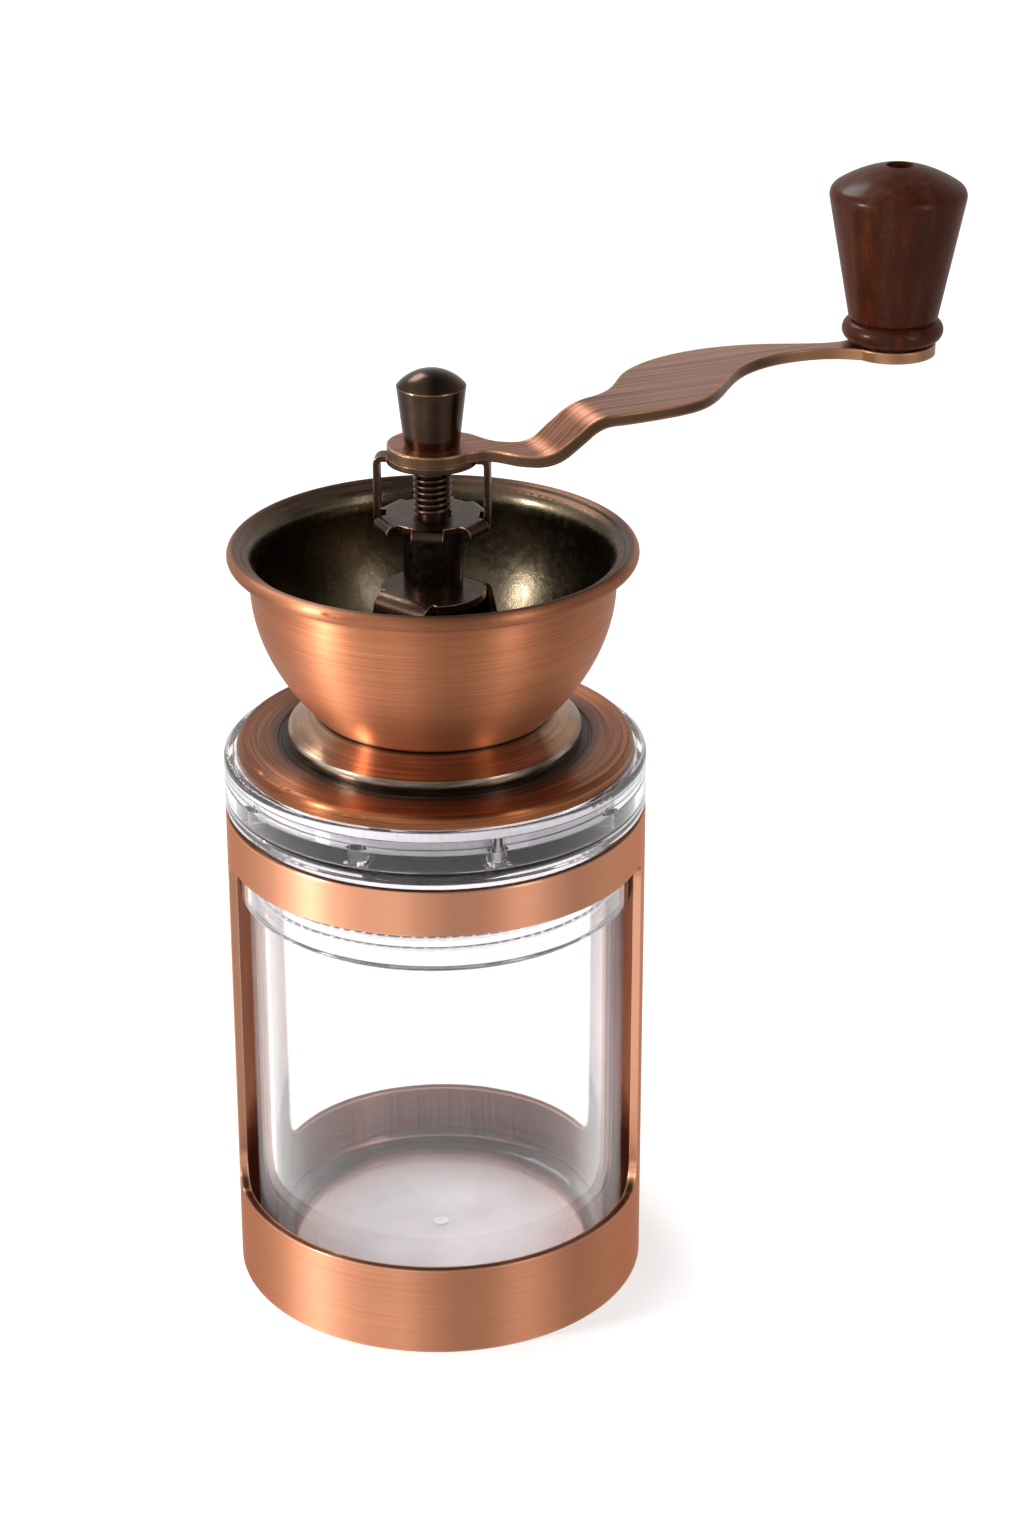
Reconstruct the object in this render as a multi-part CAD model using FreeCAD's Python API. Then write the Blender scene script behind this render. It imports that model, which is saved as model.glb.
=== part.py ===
import FreeCAD
import Part
import math
import os

# Hand coffee mill: a clear receiver jar in a windowed copper sleeve, a clear collar
# screwed on the jar, and a copper hopper whose crank turns a conical burr.
# Millimetres, +Z up, origin on the axis at the foot of the sleeve, front towards -Y.

# Directions seen from above, in degrees
FRONT = -90.0
BACK = 90.0

# Fits
RUN_FIT = 0.05
SLIDE_GAP = 0.3
HOLE_FIT = 0.1

# Sleeve
SLEEVE_RADIUS = 45.0
SLEEVE_WALL = 1.8
SLEEVE_HEIGHT = 110.8
SILL_HEIGHT = 20.5
WINDOW_HEIGHT = 80.3
WINDOW_HALF_ANGLE = 80.0
WINDOW_ANGLE = -3.5
BACK_SILL_HEIGHT = 17.0
BACK_WINDOW_HALF_ANGLE = 66.0
WINDOW_TOP_CORNER = 4.0
WINDOW_SILL_CORNER = 7.0
LEDGE_WIDTH = 10.0
LEDGE_THICKNESS = 1.8
SLEEVE_EDGE = 0.5

# Receiver jar
JAR_RADIUS = 40.7
JAR_WALL = 3.9
JAR_FLOOR = 3.4
JAR_FOOT_RISE = 0.9
JAR_FOOT_WIDTH = 2.4
JAR_CORNER = 3.5
JAR_INNER_CORNER = 4.5
NECK_STEP = 1.8
NECK_RELIEF = 1.3
GATE_RADIUS = 1.8
GATE_HEIGHT = 0.3

# Clear collar
COLLAR_GAP = 1.6
COLLAR_WALL = 2.1
LOWER_FLANGE = 2.0
CAVITY_HEIGHT = 3.9
SHELF_THICKNESS = 3.0
RIM_RISE = 2.5
COLLAR_EDGE = 1.0
SKIRT_DEPTH = 20.4
SKIRT_WALL = 2.2
POST_RADIUS = 2.1
POST_COUNT = 9
POST_ANGLE = -72.8

# Burr carrier
CARRIER_FLANGE = 2.0
DRUM_WALL = 2.0
DRUM_CLEARANCE = 0.4
THROAT_LEDGE = 9.5
TURRET_STEP = 1.0
BURR_POCKET_WALL = 3.8
CARRIER_SCREW_RADIUS = 0.9
CARRIER_SCREW_HEAD = 1.5
CARRIER_HEAD_HEIGHT = 0.7
CARRIER_SCREW_LENGTH = 7.0
CARRIER_SCREW_COUNT = 3
SCREW_HEAD_HEIGHT = 1.4

# Burrs
RING_BURR_RADIUS = 23.0
RING_BURR_HEIGHT = 16.2
RING_BURR_MOUTH = 15.2
RING_BURR_OUTLET = 19.4
RING_BURR_TEETH = 24
RING_TOOTH_DEPTH = 1.0
RING_TOOTH_ANGLE = 12.0
BURR_SCREW_RADIUS = 1.2
BURR_SCREW_HEAD = 2.6
BURR_SCREW_LENGTH = 8.0
BURR_SCREW_COUNT = 3
GRIND_GAP = 0.8
CONE_TOP_RADIUS = 7.5
CONE_TEETH = 12
CONE_TOOTH_DEPTH = 1.7
CONE_TOOTH_ANGLE = 40.0
CONE_DROP = 0.4

# Cover plate, hopper foot and hopper bowl
PLATE_RADIUS = 42.2
PLATE_DEPTH = 3.1
SHEET = 1.0
PLATE_EDGE = 1.4
GROOVE_RADIUS = 33.0
GROOVE_WIDTH = 1.0
GROOVE_DEPTH = 0.3
FOOT_HEIGHT = 6.6
FOOT_RADIUS = 31.4
FOOT_LIP = 2.7
BOWL_SEAT_RADIUS = 25.0
BOWL_RADIUS = 38.2
BOWL_HEIGHT = 31.0
BOWL_BELLY = 7.5
BOWL_SWELL = 1.0
BOWL_SWELL_RISE = 18.6
FLARE_TUCK = 0.2
FLARE_REACH = 0.4
RIM_RADIUS = 41.3
RIM_TUBE = 1.65
RIM_LIFT = 4.1

# Bridge and spindle bush
BRIDGE_RISE = 25.7
BRIDGE_DISC = 11.0
BRIDGE_STRIP = 13.4
BRIDGE_SHEET = 1.5
BRIDGE_BEND = 2.2
BRIDGE_LEG_TOP = 10.0
BRIDGE_LEG_MARGIN = 1.5
BRIDGE_FOOT_CLEARANCE = 1.6
BRIDGE_ANGLE = 49.0
BRIDGE_SCREW_RADIUS = 1.5
BRIDGE_SCREW_HEAD = 2.7
BRIDGE_SCREW_LENGTH = 9.0
BRIDGE_LEGS = 2
BUSH_RADIUS = 6.23
BUSH_LENGTH = 14.9
BUSH_SPIGOT = 4.7
BUSH_STAKE = 1.1

# Spindle and its lower fastening
SPINDLE_RADIUS = 3.0
SPINDLE_SQUARE = 4.1
SPINDLE_FLAT = 2.3
SPINDLE_STUD = 2.0
SPINDLE_TAIL = 1.0
BURR_WASHER_RADIUS = 6.5
BURR_WASHER = 1.2
BURR_NUT_FLATS = 7.0
BURR_NUT_HEIGHT = 3.4

# Adjusting nut, lock spring and lock clip
LOCK_ANGLE = -6.0
STAR_RADIUS = 9.7
STAR_THICKNESS = 1.4
STAR_TABS = 6
TAB_WIDTH = 6.6
TAB_REACH = 11.9
TAB_DROP = 0.8
TAB_BEND = 1.0
SPRING_RADIUS = 3.55
SPRING_WIRE = 0.45
SPRING_LENGTH = 10.3
SPRING_TURNS = 7
SPRING_SEAT_RADIUS = 4.4
SPRING_SEAT = 1.3
CLIP_RADIUS = 9.4
CLIP_SHEET = 1.3
PRONG_WIDTH = 3.5
PRONG_REACH = 12.1
PRONG_DEPTH = 14.0
PRONG_BEND = 1.2

# Crank, crown nut and knob
CRANK_ANGLE = 22.0
CRANK_LENGTH = 107.0
CRANK_THICKNESS = 2.4
CRANK_RISE = 8.4
CRANK_EYE = 9.3
CRANK_END_EYE = 9.4
RAMP_START = 19.3
RAMP_END = 28.4
RAMP_BEND = 8.0
CROWN_FOOT_RADIUS = 5.75
CROWN_RADIUS = 7.2
CROWN_HEIGHT = 12.5
CROWN_DOME = 3.4
CROWN_CAP = 2.5
KNOB_WASHER_RADIUS = 6.5
KNOB_WASHER = 0.5
KNOB_BEAD_RADIUS = 10.9
KNOB_BEAD_HEIGHT = 4.6
KNOB_GROOVE_RADIUS = 9.0
KNOB_NECK_RADIUS = 9.6
KNOB_RADIUS = 14.5
KNOB_BODY_HEIGHT = 26.3
KNOB_SHOULDER_RISE = 2.8
KNOB_SHOULDER_SWELL = 0.35
KNOB_SHOULDER_INSET = 1.0
KNOB_DOME_HEIGHT = 4.3
KNOB_HOLE = 2.85
KNOB_HOLE_DEPTH = 14.0
KNOB_PIN_RADIUS = 2.0
KNOB_PIN_HEAD = 2.6
KNOB_PIN_HEAD_HEIGHT = 1.6
RIVET_RADIUS = 3.6
RIVET_HEIGHT = 1.0

# The crank's S-shaped edges between its two eyes, as shares of its length: along the arm, then across it.
CRANK_FAR_EDGE = (
    (0.0766, 0.0383), (0.0888, 0.0243), (0.0981, 0.0019), (0.1121, -0.0280),
    (0.1402, -0.0514), (0.2056, -0.0673), (0.2804, -0.0822), (0.3514, -0.0486),
    (0.4093, 0.0206), (0.4981, 0.0804), (0.6168, 0.1056), (0.7477, 0.0869),
    (0.8271, 0.0561), (0.8832, 0.0393), (0.9215, 0.0411), (0.9458, 0.0589),
)
CRANK_NEAR_EDGE = (
    (0.0140, -0.0841), (0.0486, -0.0766), (0.0794, -0.0804), (0.1028, -0.1009),
    (0.1252, -0.1308), (0.1589, -0.1542), (0.2617, -0.1944), (0.3925, -0.1981),
    (0.4860, -0.1794), (0.5757, -0.1037), (0.6449, -0.0336), (0.7336, 0.0093),
    (0.8037, 0.0150), (0.8692, 0.0009), (0.9121, -0.0252), (0.9486, -0.0617),
)

# Curves as shares of their own reach and rise, from their first end to their last
FOOT_CURVE_SHARES = ((0.0, 1.0), (0.25, 0.6), (0.6, 0.3), (0.95, 0.0))
KNOB_DOME_SHARES = ((0.0, 0.0), (0.47, 0.77), (1.0, 1.0))

# Heights that follow from the sizes above
SLEEVE_BORE = SLEEVE_RADIUS - SLEEVE_WALL
WINDOW_TOP = SILL_HEIGHT + WINDOW_HEIGHT
COLLAR_Z = SLEEVE_HEIGHT + COLLAR_GAP
CAVITY_Z = COLLAR_Z + LOWER_FLANGE
SHELF_Z = CAVITY_Z + CAVITY_HEIGHT
SHELF_TOP = SHELF_Z + SHELF_THICKNESS
COLLAR_TOP = SHELF_TOP + RIM_RISE
SKIRT_Z = COLLAR_Z - SKIRT_DEPTH
FLANGE_TOP = SHELF_TOP + CARRIER_FLANGE
PLATE_TOP = FLANGE_TOP + PLATE_DEPTH
TURRET_TOP = PLATE_TOP + FOOT_HEIGHT
BOWL_FLOOR = TURRET_TOP + SHEET
BOWL_TOP = TURRET_TOP + BOWL_HEIGHT
RIM_Z = BOWL_TOP + RIM_LIFT
BURR_Z = SHELF_TOP - RING_BURR_HEIGHT
CONE_Z = BURR_Z - CONE_DROP
BURR_WASHER_Z = CONE_Z - BURR_WASHER
BURR_NUT_Z = BURR_WASHER_Z - BURR_NUT_HEIGHT
BRIDGE_TOP = BOWL_FLOOR + BRIDGE_RISE
BUSH_TOP = BRIDGE_TOP + BUSH_LENGTH
STAR_Z = BUSH_TOP + RUN_FIT
STAR_TOP = STAR_Z + STAR_THICKNESS
SPRING_TOP = STAR_TOP + SPRING_LENGTH
CLIP_Z = SPRING_TOP + SPRING_SEAT
CRANK_Z = CLIP_Z + CLIP_SHEET
CRANK_TOP = CRANK_Z + CRANK_THICKNESS
CROWN_RIM_Z = CRANK_TOP + CROWN_HEIGHT
SPINDLE_TOP = CROWN_RIM_Z - CROWN_CAP + CROWN_DOME / 2
ARM_Z = CRANK_Z + CRANK_RISE
ARM_TOP = ARM_Z + CRANK_THICKNESS
KNOB_Z = ARM_TOP + KNOB_WASHER + RUN_FIT
BEAD_TOP = KNOB_Z + KNOB_BEAD_HEIGHT
SHOULDER_Z = BEAD_TOP + KNOB_BODY_HEIGHT
DOME_Z = SHOULDER_Z + KNOB_SHOULDER_RISE
KNOB_TOP = DOME_Z + KNOB_DOME_HEIGHT
KNOB_SEAT = KNOB_TOP - KNOB_HOLE_DEPTH
CARRIER_SCREW_SEAT = FLANGE_TOP - CARRIER_HEAD_HEIGHT - HOLE_FIT

# Radii that follow from the sizes above
JAR_BORE = JAR_RADIUS - JAR_WALL
NECK_RADIUS = JAR_RADIUS - NECK_STEP
SKIRT_RADIUS = SLEEVE_BORE - 2 * SLIDE_GAP
SKIRT_BORE = SKIRT_RADIUS - SKIRT_WALL
COLLAR_BORE = SLEEVE_RADIUS - COLLAR_WALL
POST_CIRCLE = COLLAR_BORE - POST_RADIUS - SLIDE_GAP
DRUM_RADIUS = POST_CIRCLE - POST_RADIUS - SLIDE_GAP
CARRIER_RADIUS = COLLAR_BORE - SLIDE_GAP
POCKET_RADIUS = RING_BURR_RADIUS + HOLE_FIT
POCKET_OUTSIDE = POCKET_RADIUS + BURR_POCKET_WALL
TURRET_RADIUS = BOWL_SEAT_RADIUS - TURRET_STEP
THROAT_RADIUS = BOWL_SEAT_RADIUS - THROAT_LEDGE
BRIDGE_LEG_FOOT = THROAT_RADIUS + BRIDGE_LEG_MARGIN
BRIDGE_FOOT_END = BOWL_SEAT_RADIUS - BRIDGE_FOOT_CLEARANCE
BRIDGE_SCREW_CIRCLE = (BRIDGE_LEG_FOOT + BRIDGE_FOOT_END) / 2 + BRIDGE_BEND / 2
BURR_SCREW_CIRCLE = (POCKET_RADIUS + POCKET_OUTSIDE) / 2
SPINDLE_BORE = SPINDLE_RADIUS + RUN_FIT


def vec(r, z):
    return FreeCAD.Vector(r, 0, z)


def line(p, q):
    return Part.LineSegment(vec(*p), vec(*q)).toShape()


def arc(p, middle, q):
    return Part.Arc(vec(*p), vec(*middle), vec(*q)).toShape()


def bezier(points):
    curve = Part.BezierCurve()
    curve.setPoles([vec(*p) for p in points])
    return curve.toShape()


def chain(points):
    return [line(p, q) for p, q in zip(points, points[1:])]


def turned(edges):
    face = Part.Face(Part.Wire(edges))
    solid = face.revolve(FreeCAD.Vector(0, 0, 0), FreeCAD.Vector(0, 0, 1), 360)
    return solid.removeSplitter()


def turned_outline(points):
    return turned(chain(list(points) + [points[0]]))


def cylinder(radius, z0, z1, x=0.0, y=0.0):
    return Part.makeCylinder(radius, z1 - z0, FreeCAD.Vector(x, y, z0))


def ring(outer, inner, z0, z1):
    return cylinder(outer, z0, z1).cut(cylinder(inner, z0, z1))


def box(x0, x1, y0, y1, z0, z1):
    return Part.makeBox(x1 - x0, y1 - y0, z1 - z0, FreeCAD.Vector(x0, y0, z0))


def spun(shape, angle):
    turned_copy = shape.copy()
    turned_copy.rotate(FreeCAD.Vector(0, 0, 0), FreeCAD.Vector(0, 0, 1), angle)
    return turned_copy


def pattern(shape, count, start=0.0):
    return [spun(shape, start + 360.0 * i / count) for i in range(count)]


def fused(shapes):
    return shapes[0].multiFuse(shapes[1:]).removeSplitter()


def offset_poles(poles, distance):
    """Shift a curve's poles to the left of its travel, for a sheet of even thickness."""
    normals = []
    for (r0, z0), (r1, z1) in zip(poles, poles[1:]):
        length = math.hypot(r1 - r0, z1 - z0)
        normals.append((-(z1 - z0) / length, (r1 - r0) / length))
    shifted = []
    for i, (r, z) in enumerate(poles):
        before = normals[max(i - 1, 0)]
        after = normals[min(i, len(normals) - 1)]
        nr = before[0] + after[0]
        nz = before[1] + after[1]
        scale = 2 * distance / (nr * nr + nz * nz)
        shifted.append((r + nr * scale, z + nz * scale))
    return shifted


def strip_side(path, bend, offset):
    """One side of a bent strip: straight runs and concentric arcs along a path."""
    edges = []
    tangents = []
    for p, q in zip(path, path[1:]):
        length = math.hypot(q[0] - p[0], q[1] - p[1])
        tangents.append(((q[0] - p[0]) / length, (q[1] - p[1]) / length))

    def shifted(point, direction):
        return (point[0] - direction[1] * offset, point[1] + direction[0] * offset)

    last = shifted(path[0], tangents[0])
    for i in range(1, len(path) - 1):
        d0 = tangents[i - 1]
        d1 = tangents[i]
        cross = d0[0] * d1[1] - d0[1] * d1[0]
        turn = math.atan2(cross, d0[0] * d1[0] + d0[1] * d1[1])
        run = bend * math.tan(abs(turn) / 2)
        start = (path[i][0] - d0[0] * run, path[i][1] - d0[1] * run)
        end = (path[i][0] + d1[0] * run, path[i][1] + d1[1] * run)
        side = math.copysign(1.0, turn)
        centre = (start[0] - d0[1] * bend * side, start[1] + d0[0] * bend * side)
        half = (d0[0] + d1[0], d0[1] + d1[1])
        size = math.hypot(*half)
        half = (half[0] / size, half[1] / size)
        radius = bend - offset * side
        middle = (centre[0] + half[1] * radius * side, centre[1] - half[0] * radius * side)
        edges.append(line(last, shifted(start, d0)))
        edges.append(arc(shifted(start, d0), middle, shifted(end, d1)))
        last = shifted(end, d1)
    edges.append(line(last, shifted(path[-1], tangents[-1])))
    return edges


def bent_strip(path, thickness, bend, y0, y1):
    """A strip of sheet folded along a path in the XZ plane, from y0 to y1."""
    left = strip_side(path, bend, thickness / 2)
    right = strip_side(path, bend, -thickness / 2)
    cap_start = Part.LineSegment(left[0].Vertexes[0].Point, right[0].Vertexes[0].Point).toShape()
    cap_end = Part.LineSegment(left[-1].Vertexes[-1].Point, right[-1].Vertexes[-1].Point).toShape()
    wire = Part.Wire(Part.__sortEdges__(left + right + [cap_start, cap_end]))
    face = Part.Face(wire)
    face.translate(FreeCAD.Vector(0, y0, 0))
    return face.extrude(FreeCAD.Vector(0, y1 - y0, 0))


def toothed_section(tip, root, teeth, z, turn):
    """A closed saw-toothed outline, with each tooth's tip followed by its root."""
    points = []
    for i in range(2 * teeth):
        radius = root if i % 2 else tip
        angle = math.radians(turn + 180.0 * i / teeth)
        points.append(FreeCAD.Vector(radius * math.cos(angle), radius * math.sin(angle), z))
    return Part.makePolygon(points + [points[0]])


def double_d(radius, half_flat, z0, z1):
    """A round bar with two flats across the X direction."""
    return cylinder(radius, z0, z1).common(box(-half_flat, half_flat, -radius, radius, z0, z1))


def jar_sleeve():
    body = ring(SLEEVE_RADIUS, SLEEVE_BORE, 0, SLEEVE_HEIGHT)
    edges = [e for e in body.Edges if abs(e.BoundBox.ZMin - SLEEVE_HEIGHT) < 1e-6]
    body = body.makeFillet(SLEEVE_EDGE, edges)
    ledge = ring(SLEEVE_BORE, SLEEVE_BORE - LEDGE_WIDTH, 0, LEDGE_THICKNESS)
    body = body.fuse(ledge)
    front = window_tool(SILL_HEIGHT, WINDOW_HALF_ANGLE, FRONT + WINDOW_ANGLE)
    back = window_tool(BACK_SILL_HEIGHT, BACK_WINDOW_HALF_ANGLE, BACK)
    return body.cut(front).cut(back).removeSplitter()


def window_tool(sill, half_angle, middle):
    """The sector that one window takes out of the sleeve, with its rounded corners."""
    outer = SLEEVE_RADIUS + SLEEVE_WALL
    inner = SLEEVE_BORE - SLEEVE_WALL
    corners = [(inner, sill), (outer, sill), (outer, WINDOW_TOP), (inner, WINDOW_TOP)]
    face = Part.Face(Part.Wire(chain(corners + corners[:1])))
    sector = face.revolve(FreeCAD.Vector(0, 0, 0), FreeCAD.Vector(0, 0, 1), 2 * half_angle)
    sector = sector.makeFillet(WINDOW_TOP_CORNER, radial_edges(sector, WINDOW_TOP))
    sector = sector.makeFillet(WINDOW_SILL_CORNER, radial_edges(sector, sill))
    return spun(sector, middle - half_angle)


def radial_edges(shape, z):
    straight = [e for e in shape.Edges if e.Curve.TypeId == "Part::GeomLine"]
    return [e for e in straight if abs(e.BoundBox.ZMin - z) < 1e-6 and abs(e.BoundBox.ZMax - z) < 1e-6]


def receiver_jar():
    base = LEDGE_THICKNESS
    floor = base + JAR_FOOT_RISE + JAR_FLOOR
    shoulder = SKIRT_Z - NECK_RELIEF
    mouth = COLLAR_Z
    foot_outer = JAR_RADIUS - JAR_CORNER
    foot_inner = foot_outer - JAR_FOOT_WIDTH
    slant = math.sqrt(0.5)
    corner = (JAR_RADIUS - JAR_CORNER * (1 - slant), base + JAR_CORNER * (1 - slant))
    inner = (JAR_BORE - JAR_INNER_CORNER * (1 - slant), floor + JAR_INNER_CORNER * (1 - slant))
    edges = chain([(0, floor), (0, base + JAR_FOOT_RISE), (foot_inner, base + JAR_FOOT_RISE),
                   (foot_inner, base), (foot_outer, base)])
    edges.append(arc((foot_outer, base), corner, (JAR_RADIUS, base + JAR_CORNER)))
    edges += chain([(JAR_RADIUS, base + JAR_CORNER), (JAR_RADIUS, shoulder), (NECK_RADIUS, shoulder),
                    (NECK_RADIUS, mouth), (JAR_BORE, mouth), (JAR_BORE, floor + JAR_INNER_CORNER)])
    edges.append(arc((JAR_BORE, floor + JAR_INNER_CORNER), inner, (JAR_BORE - JAR_INNER_CORNER, floor)))
    edges.append(line((JAR_BORE - JAR_INNER_CORNER, floor), (0, floor)))
    gate = cylinder(GATE_RADIUS, floor - GATE_HEIGHT, floor + GATE_HEIGHT)
    return turned(edges).fuse(gate).removeSplitter()


def clear_collar():
    drum_hole = DRUM_RADIUS + SLIDE_GAP
    body = turned_outline([
        (SKIRT_BORE, SKIRT_Z), (SKIRT_RADIUS, SKIRT_Z), (SKIRT_RADIUS, COLLAR_Z),
        (SLEEVE_RADIUS, COLLAR_Z), (SLEEVE_RADIUS, COLLAR_TOP), (COLLAR_BORE, COLLAR_TOP),
        (COLLAR_BORE, SHELF_TOP), (drum_hole, SHELF_TOP), (drum_hole, SHELF_Z),
        (COLLAR_BORE, SHELF_Z), (COLLAR_BORE, CAVITY_Z), (JAR_BORE, CAVITY_Z),
        (JAR_BORE, COLLAR_Z), (SKIRT_BORE, COLLAR_Z)])
    rim = [e for e in body.Edges
           if abs(e.BoundBox.ZMin - COLLAR_TOP) < 1e-6 and abs(e.BoundBox.XMax - SLEEVE_RADIUS) < 1e-3]
    body = body.makeFillet(COLLAR_EDGE, rim)
    post = cylinder(POST_RADIUS, CAVITY_Z, SHELF_Z, POST_CIRCLE)
    body = fused([body] + pattern(post, POST_COUNT, POST_ANGLE))
    depth = CARRIER_SCREW_SEAT - CARRIER_SCREW_LENGTH - HOLE_FIT
    hole = cylinder(CARRIER_SCREW_RADIUS + HOLE_FIT, depth, SHELF_TOP, POST_CIRCLE)
    for cutter in pattern(hole, CARRIER_SCREW_COUNT, POST_ANGLE):
        body = body.cut(cutter)
    return body


def burr_carrier():
    drum_foot = CAVITY_Z + DRUM_CLEARANCE
    body = turned_outline([
        (THROAT_RADIUS, TURRET_TOP), (TURRET_RADIUS, TURRET_TOP), (TURRET_RADIUS, FLANGE_TOP),
        (CARRIER_RADIUS, FLANGE_TOP), (CARRIER_RADIUS, SHELF_TOP), (DRUM_RADIUS, SHELF_TOP),
        (DRUM_RADIUS, drum_foot), (DRUM_RADIUS - DRUM_WALL, drum_foot),
        (DRUM_RADIUS - DRUM_WALL, SHELF_TOP), (POCKET_OUTSIDE, SHELF_TOP), (POCKET_OUTSIDE, BURR_Z),
        (POCKET_RADIUS, BURR_Z), (POCKET_RADIUS, SHELF_TOP), (THROAT_RADIUS, SHELF_TOP)])
    holes = pattern(cylinder(CARRIER_SCREW_RADIUS + HOLE_FIT, SHELF_TOP, FLANGE_TOP, POST_CIRCLE),
                    CARRIER_SCREW_COUNT, POST_ANGLE)
    sunk = cylinder(CARRIER_SCREW_HEAD + HOLE_FIT, CARRIER_SCREW_SEAT, FLANGE_TOP, POST_CIRCLE)
    holes += pattern(sunk, CARRIER_SCREW_COUNT, POST_ANGLE)
    tapped = cylinder(BRIDGE_SCREW_RADIUS + HOLE_FIT, TURRET_TOP - BRIDGE_SCREW_LENGTH, TURRET_TOP,
                      BRIDGE_SCREW_CIRCLE)
    holes += pattern(tapped, BRIDGE_LEGS, BRIDGE_ANGLE)
    blind = cylinder(BURR_SCREW_RADIUS + HOLE_FIT, BURR_Z, BURR_Z + BURR_SCREW_LENGTH, BURR_SCREW_CIRCLE)
    holes += pattern(blind, BURR_SCREW_COUNT)
    for hole in holes:
        body = body.cut(hole)
    return body


def screw(radius, length, head_radius, head_height, z, x):
    """A plain screw whose head rests on z, with its shank below."""
    shank = cylinder(radius, z - length, z, x)
    head = cylinder(head_radius, z, z + head_height, x)
    crown = [e for e in head.Edges if abs(e.BoundBox.ZMin - z - head_height) < 1e-6]
    head = head.makeFillet(head_height / 2, crown)
    return shank.fuse(head).removeSplitter()


def carrier_screws():
    one = screw(CARRIER_SCREW_RADIUS, CARRIER_SCREW_LENGTH, CARRIER_SCREW_HEAD, CARRIER_HEAD_HEIGHT,
                CARRIER_SCREW_SEAT, POST_CIRCLE)
    return Part.makeCompound(pattern(one, CARRIER_SCREW_COUNT, POST_ANGLE))


def ring_burr():
    body = cylinder(RING_BURR_RADIUS, BURR_Z, SHELF_TOP)
    lower = toothed_section(RING_BURR_OUTLET, RING_BURR_OUTLET + RING_TOOTH_DEPTH, RING_BURR_TEETH, BURR_Z, 0)
    upper = toothed_section(RING_BURR_MOUTH, RING_BURR_MOUTH + RING_TOOTH_DEPTH, RING_BURR_TEETH,
                            SHELF_TOP, RING_TOOTH_ANGLE)
    return body.cut(Part.makeLoft([lower, upper], True, True))


def ring_burr_screws():
    one = screw(BURR_SCREW_RADIUS, BURR_SCREW_LENGTH, BURR_SCREW_HEAD, SCREW_HEAD_HEIGHT, 0, 0)
    one.rotate(FreeCAD.Vector(0, 0, 0), FreeCAD.Vector(1, 0, 0), 180)
    one.translate(FreeCAD.Vector(BURR_SCREW_CIRCLE, 0, BURR_Z))
    return Part.makeCompound(pattern(one, BURR_SCREW_COUNT))


def cone_burr():
    foot = RING_BURR_OUTLET - GRIND_GAP
    lower = toothed_section(foot, foot - CONE_TOOTH_DEPTH, CONE_TEETH, CONE_Z, 0)
    upper = toothed_section(CONE_TOP_RADIUS, CONE_TOP_RADIUS - CONE_TOOTH_DEPTH, CONE_TEETH,
                            SHELF_TOP, CONE_TOOTH_ANGLE)
    body = Part.makeLoft([lower, upper], True, True)
    half = SPINDLE_SQUARE / 2 + RUN_FIT
    return body.cut(box(-half, half, -half, half, CONE_Z, SHELF_TOP))


def cover_plate():
    inside = PLATE_RADIUS - SHEET
    slant = PLATE_EDGE * (1 - math.sqrt(0.5))
    groove = PLATE_TOP - GROOVE_DEPTH
    hole = TURRET_RADIUS + SLIDE_GAP
    edges = chain([(PLATE_RADIUS, PLATE_TOP - PLATE_EDGE), (PLATE_RADIUS, FLANGE_TOP), (inside, FLANGE_TOP),
                   (inside, PLATE_TOP - SHEET), (hole, PLATE_TOP - SHEET), (hole, PLATE_TOP),
                   (GROOVE_RADIUS - GROOVE_WIDTH / 2, PLATE_TOP), (GROOVE_RADIUS - GROOVE_WIDTH / 4, groove),
                   (GROOVE_RADIUS + GROOVE_WIDTH / 4, groove), (GROOVE_RADIUS + GROOVE_WIDTH / 2, PLATE_TOP),
                   (PLATE_RADIUS - PLATE_EDGE, PLATE_TOP)])
    edges.append(arc((PLATE_RADIUS - PLATE_EDGE, PLATE_TOP), (PLATE_RADIUS - slant, PLATE_TOP - slant),
                     (PLATE_RADIUS, PLATE_TOP - PLATE_EDGE)))
    return turned(edges)


def hopper_foot():
    """The flared ring between the cover plate and the bowl."""
    lip_top = PLATE_TOP + FOOT_LIP
    rise = TURRET_TOP - lip_top
    reach = FOOT_RADIUS - BOWL_SEAT_RADIUS
    outer = [(BOWL_SEAT_RADIUS + reach * across, lip_top + rise * up) for across, up in FOOT_CURVE_SHARES]
    under = TURRET_RADIUS + SLIDE_GAP
    lip_inside = FOOT_RADIUS - FOOT_LIP
    lip_foot = (outer[-1][0], PLATE_TOP)
    edges = [bezier(outer)]
    edges.append(arc(outer[-1], (FOOT_RADIUS, lip_top - FOOT_LIP / 2), lip_foot))
    edges += chain([lip_foot, (lip_inside, PLATE_TOP), (under, TURRET_TOP - SHEET), (under, TURRET_TOP),
                    outer[0]])
    return turned(edges)


def bowl_poles():
    """The bowl's outside from its seat up to the foot of the rim's flare."""
    return [(BOWL_SEAT_RADIUS, TURRET_TOP), (BOWL_SEAT_RADIUS + BOWL_BELLY, TURRET_TOP + BOWL_BELLY),
            (BOWL_RADIUS + BOWL_SWELL, TURRET_TOP + BOWL_SWELL_RISE), (BOWL_RADIUS, BOWL_TOP)]


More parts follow.
